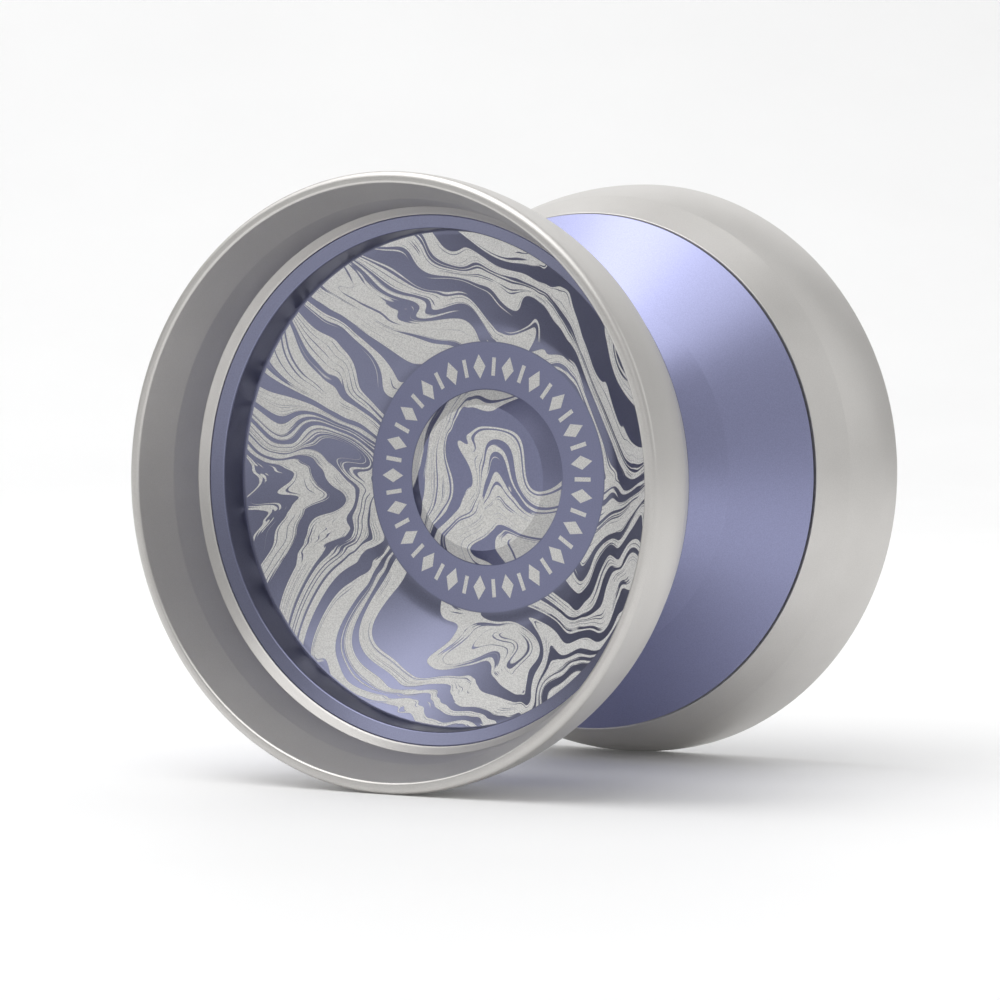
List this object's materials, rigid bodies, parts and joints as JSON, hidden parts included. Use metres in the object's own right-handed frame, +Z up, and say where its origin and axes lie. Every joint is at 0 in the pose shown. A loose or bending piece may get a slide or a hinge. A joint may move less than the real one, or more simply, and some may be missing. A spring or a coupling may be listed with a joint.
{
  "type": "yo-yo",
  "caption": "Return-top toy: flared cup-shaped halves with heavy steel rims, screwed together on an axle through a ball bearing.",
  "frame": {"origin": "middle of the axle, half way between the two halves", "axes": "+Z up, +Y along the axle from half A to half B; the yo-yo stands on its rims"},
  "size_m": [0.056, 0.048, 0.056],
  "materials": {
    "anodised_shell": "satin anodised, cup face laser-etched with a marbled pattern",
    "steel_rim": "bead-blasted satin",
    "silicone": "matt",
    "axle_steel": "threaded, oiled",
    "bearing_steel": "ground",
    "shield_steel": "pressed sheet",
    "cage_steel": "pressed sheet"
  },
  "bodies": {
    "half_a": {"half_body_a": "anodised_shell", "rim_ring_a": "steel_rim", "response_pad_a": "silicone", "axle": "axle_steel"},
    "bearing_core": {"bearing_inner_race": "bearing_steel"},
    "bearing_shell": {"bearing_outer_race": "bearing_steel", "bearing_shield_a": "shield_steel", "bearing_shield_b": "shield_steel", "snap_ring_a": "shield_steel", "snap_ring_b": "shield_steel"},
    "retainer": {"bearing_cage": "cage_steel"},
    "half_b": {"half_body_b": "anodised_shell", "rim_ring_b": "steel_rim", "response_pad_b": "silicone"},
    "ball_01": {"bearing_ball_01": "bearing_steel"},
    "ball_02": {"bearing_ball_02": "bearing_steel"},
    "ball_03": {"bearing_ball_03": "bearing_steel"},
    "ball_04": {"bearing_ball_04": "bearing_steel"},
    "ball_05": {"bearing_ball_05": "bearing_steel"},
    "ball_06": {"bearing_ball_06": "bearing_steel"},
    "ball_07": {"bearing_ball_07": "bearing_steel"},
    "ball_08": {"bearing_ball_08": "bearing_steel"},
    "ball_09": {"bearing_ball_09": "bearing_steel"},
    "ball_10": {"bearing_ball_10": "bearing_steel"}
  },
  "joints": [
    {"name": "half_unscrew", "type": "hinge", "parent": "bearing_core", "child": "half_b", "pos_m": [0, 0, 0], "axis": [0, 1, 0], "range_deg": [0, 2520]},
    {"name": "half_draw_off", "type": "slide", "parent": "half_a", "child": "bearing_core", "axis": [0, 1, 0], "range_m": [0, 0.0049]},
    {"name": "bearing_spin", "type": "hinge", "parent": "bearing_core", "child": "bearing_shell", "pos_m": [0, 0, 0], "axis": [0, 1, 0], "continuous": true},
    {"name": "retainer_orbit", "type": "hinge", "parent": "bearing_core", "child": "retainer", "pos_m": [0, 0, 0], "axis": [0, 1, 0], "continuous": true},
    {"name": "ball_01_roll", "type": "hinge", "parent": "retainer", "child": "ball_01", "pos_m": [0.00476, 0, 0], "axis": [0, 1, 0], "continuous": true},
    {"name": "ball_02_roll", "type": "hinge", "parent": "retainer", "child": "ball_02", "pos_m": [0.00385, 0, -0.0028], "axis": [0, 1, 0], "continuous": true},
    {"name": "ball_03_roll", "type": "hinge", "parent": "retainer", "child": "ball_03", "pos_m": [0.00147, 0, -0.00453], "axis": [0, 1, 0], "continuous": true},
    {"name": "ball_04_roll", "type": "hinge", "parent": "retainer", "child": "ball_04", "pos_m": [-0.00147, 0, -0.00453], "axis": [0, 1, 0], "continuous": true},
    {"name": "ball_05_roll", "type": "hinge", "parent": "retainer", "child": "ball_05", "pos_m": [-0.00385, 0, -0.0028], "axis": [0, 1, 0], "continuous": true},
    {"name": "ball_06_roll", "type": "hinge", "parent": "retainer", "child": "ball_06", "pos_m": [-0.00476, 0, 0], "axis": [0, 1, 0], "continuous": true},
    {"name": "ball_07_roll", "type": "hinge", "parent": "retainer", "child": "ball_07", "pos_m": [-0.00385, 0, 0.0028], "axis": [0, 1, 0], "continuous": true},
    {"name": "ball_08_roll", "type": "hinge", "parent": "retainer", "child": "ball_08", "pos_m": [-0.00147, 0, 0.00453], "axis": [0, 1, 0], "continuous": true},
    {"name": "ball_09_roll", "type": "hinge", "parent": "retainer", "child": "ball_09", "pos_m": [0.00147, 0, 0.00453], "axis": [0, 1, 0], "continuous": true},
    {"name": "ball_10_roll", "type": "hinge", "parent": "retainer", "child": "ball_10", "pos_m": [0.00385, 0, 0.0028], "axis": [0, 1, 0], "continuous": true}
  ],
  "couplings": [
    {"joint": "half_draw_off", "follows": "half_unscrew", "m_per_rad": 0.00011141},
    {"joint": "retainer_orbit", "follows": "bearing_spin", "ratio": 0.58336},
    {"joint": "ball_01_roll", "follows": "bearing_spin", "ratio": 2.9157},
    {"joint": "ball_02_roll", "follows": "bearing_spin", "ratio": 2.9157},
    {"joint": "ball_03_roll", "follows": "bearing_spin", "ratio": 2.9157},
    {"joint": "ball_04_roll", "follows": "bearing_spin", "ratio": 2.9157},
    {"joint": "ball_05_roll", "follows": "bearing_spin", "ratio": 2.9157},
    {"joint": "ball_06_roll", "follows": "bearing_spin", "ratio": 2.9157},
    {"joint": "ball_07_roll", "follows": "bearing_spin", "ratio": 2.9157},
    {"joint": "ball_08_roll", "follows": "bearing_spin", "ratio": 2.9157},
    {"joint": "ball_09_roll", "follows": "bearing_spin", "ratio": 2.9157},
    {"joint": "ball_10_roll", "follows": "bearing_spin", "ratio": 2.9157}
  ]
}
